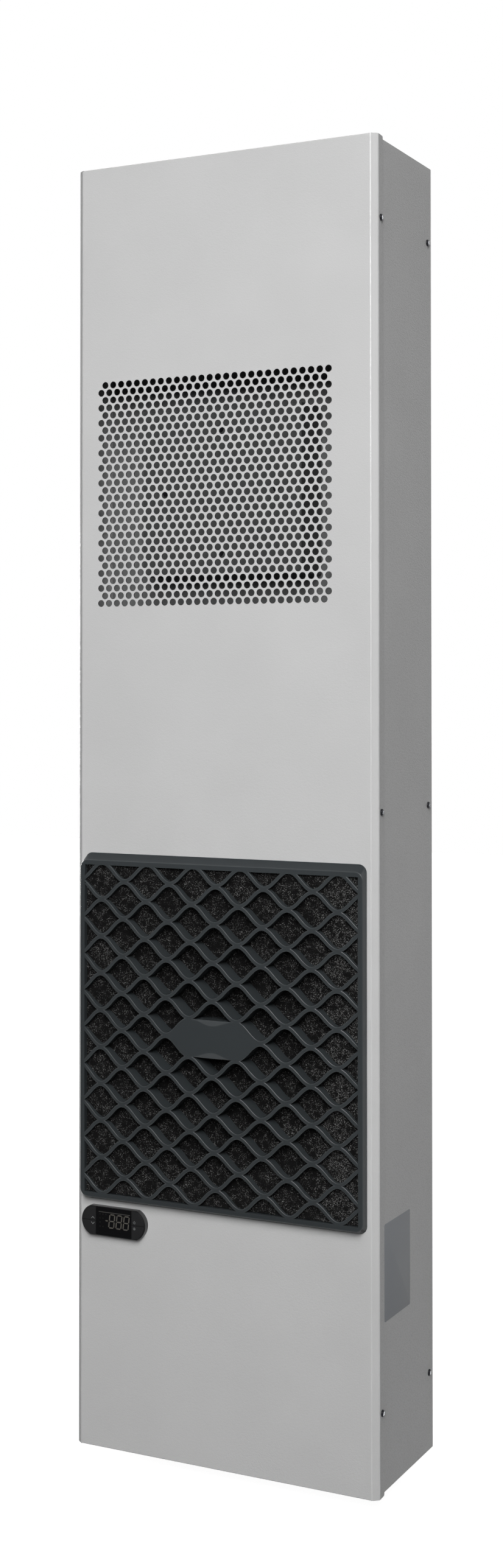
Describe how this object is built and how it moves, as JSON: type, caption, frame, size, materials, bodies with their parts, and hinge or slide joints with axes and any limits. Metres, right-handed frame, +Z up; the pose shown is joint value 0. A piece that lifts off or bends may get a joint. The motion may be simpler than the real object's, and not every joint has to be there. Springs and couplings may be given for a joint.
{
  "type": "enclosure air conditioner",
  "caption": "Tall slim cooling unit for an electrical cabinet: bent grey cover, perforated outlet, domed wave filter grille, small controller, fans and cooling circuit inside.",
  "frame": {"origin": "centre of the rear mounting inserts, on the outer face of the rear panel", "axes": "+Z up, the front with the grille faces -Y, +X to the right seen from the front"},
  "size_m": [0.401, 0.2038, 1.566],
  "materials": {
    "cover_paint": "textured powder coat, light grey",
    "sheet_steel": "galvanised sheet",
    "screw_steel": "bright zinc plated",
    "grille_plastic": "anthracite, fine grain",
    "button_plastic": "anthracite",
    "filter_foam": "open cell foam",
    "seal_rubber": "matt",
    "display_glass": "dark glossy window",
    "board_green": "lacquered board",
    "fan_plastic": "moulded",
    "motor_black": "black enamel",
    "coil_fins": "plain fins",
    "copper_tube": "plain copper",
    "drain_plastic": "moulded",
    "electric_plastic": "moulded"
  },
  "bodies": {
    "housing": {"front_cover": "cover_paint", "casing_wrap": "cover_paint", "casing_frame": "cover_paint", "rear_panel": "sheet_steel", "partition_plate": "sheet_steel", "condenser_shelf": "sheet_steel", "condenser_fan_bracket": "sheet_steel", "evaporator_fan_bracket": "sheet_steel", "condenser_inlet_ring": "sheet_steel", "evaporator_inlet_ring": "sheet_steel", "electrical_box": "sheet_steel", "electrical_lid": "sheet_steel", "compressor_base": "sheet_steel", "inlet_guard": "sheet_steel", "outlet_guard": "sheet_steel", "cover_screws": "screw_steel", "rear_screws": "screw_steel", "condenser_motor_screws": "screw_steel", "evaporator_motor_screws": "screw_steel", "mounting_inserts": "screw_steel", "controller_housing": "grille_plastic", "controller_clips": "grille_plastic", "mounting_gasket": "seal_rubber", "compressor_feet": "seal_rubber", "controller_window": "display_glass", "controller_board": "board_green", "condenser_fan_motor": "motor_black", "evaporator_fan_motor": "motor_black", "compressor": "motor_black", "accumulator": "motor_black", "condenser_coil": "coil_fins", "evaporator_coil": "coil_fins", "condenser_bends": "copper_tube", "evaporator_bends": "copper_tube", "discharge_line": "copper_tube", "liquid_line": "copper_tube", "capillary_tube": "copper_tube", "suction_line": "copper_tube", "filter_drier": "copper_tube", "drip_tray": "drain_plastic", "drip_tray_wall": "drain_plastic", "drain_pipe": "drain_plastic", "terminal_block": "electric_plastic", "run_capacitor": "electric_plastic", "supply_connector": "electric_plastic"},
    "condenser_rotor": {"condenser_impeller": "fan_plastic"},
    "evaporator_rotor": {"evaporator_impeller": "fan_plastic"},
    "filter_unit": {"filter_grille": "grille_plastic", "filter_mat": "filter_foam"},
    "button_up_cap": {"button_up": "button_plastic"},
    "button_down_cap": {"button_down": "button_plastic"},
    "button_standby_cap": {"button_standby": "button_plastic"},
    "button_set_cap": {"button_set": "button_plastic"}
  },
  "joints": [
    {"name": "condenser_fan_spin", "type": "hinge", "parent": "housing", "child": "condenser_rotor", "pos_m": [-0.01275, -0.12, 0.3764], "axis": [0, 1, 0], "continuous": true},
    {"name": "evaporator_fan_spin", "type": "hinge", "parent": "housing", "child": "evaporator_rotor", "pos_m": [0, -0.03, 0.65], "axis": [0, 1, 0], "continuous": true},
    {"name": "filter_pull", "type": "slide", "parent": "housing", "child": "filter_unit", "axis": [0, -1, 0], "range_m": [0, 0.06]},
    {"name": "button_up_press", "type": "slide", "parent": "housing", "child": "button_up_cap", "axis": [0, 1, 0], "range_m": [0, 0.0008], "stiffness_N_per_m": 1200, "springref_m": -0.0004},
    {"name": "button_down_press", "type": "slide", "parent": "housing", "child": "button_down_cap", "axis": [0, 1, 0], "range_m": [0, 0.0008], "stiffness_N_per_m": 1200, "springref_m": -0.0004},
    {"name": "button_standby_press", "type": "slide", "parent": "housing", "child": "button_standby_cap", "axis": [0, 1, 0], "range_m": [0, 0.0008], "stiffness_N_per_m": 1200, "springref_m": -0.0004},
    {"name": "button_set_press", "type": "slide", "parent": "housing", "child": "button_set_cap", "axis": [0, 1, 0], "range_m": [0, 0.0008], "stiffness_N_per_m": 1200, "springref_m": -0.0004}
  ]
}
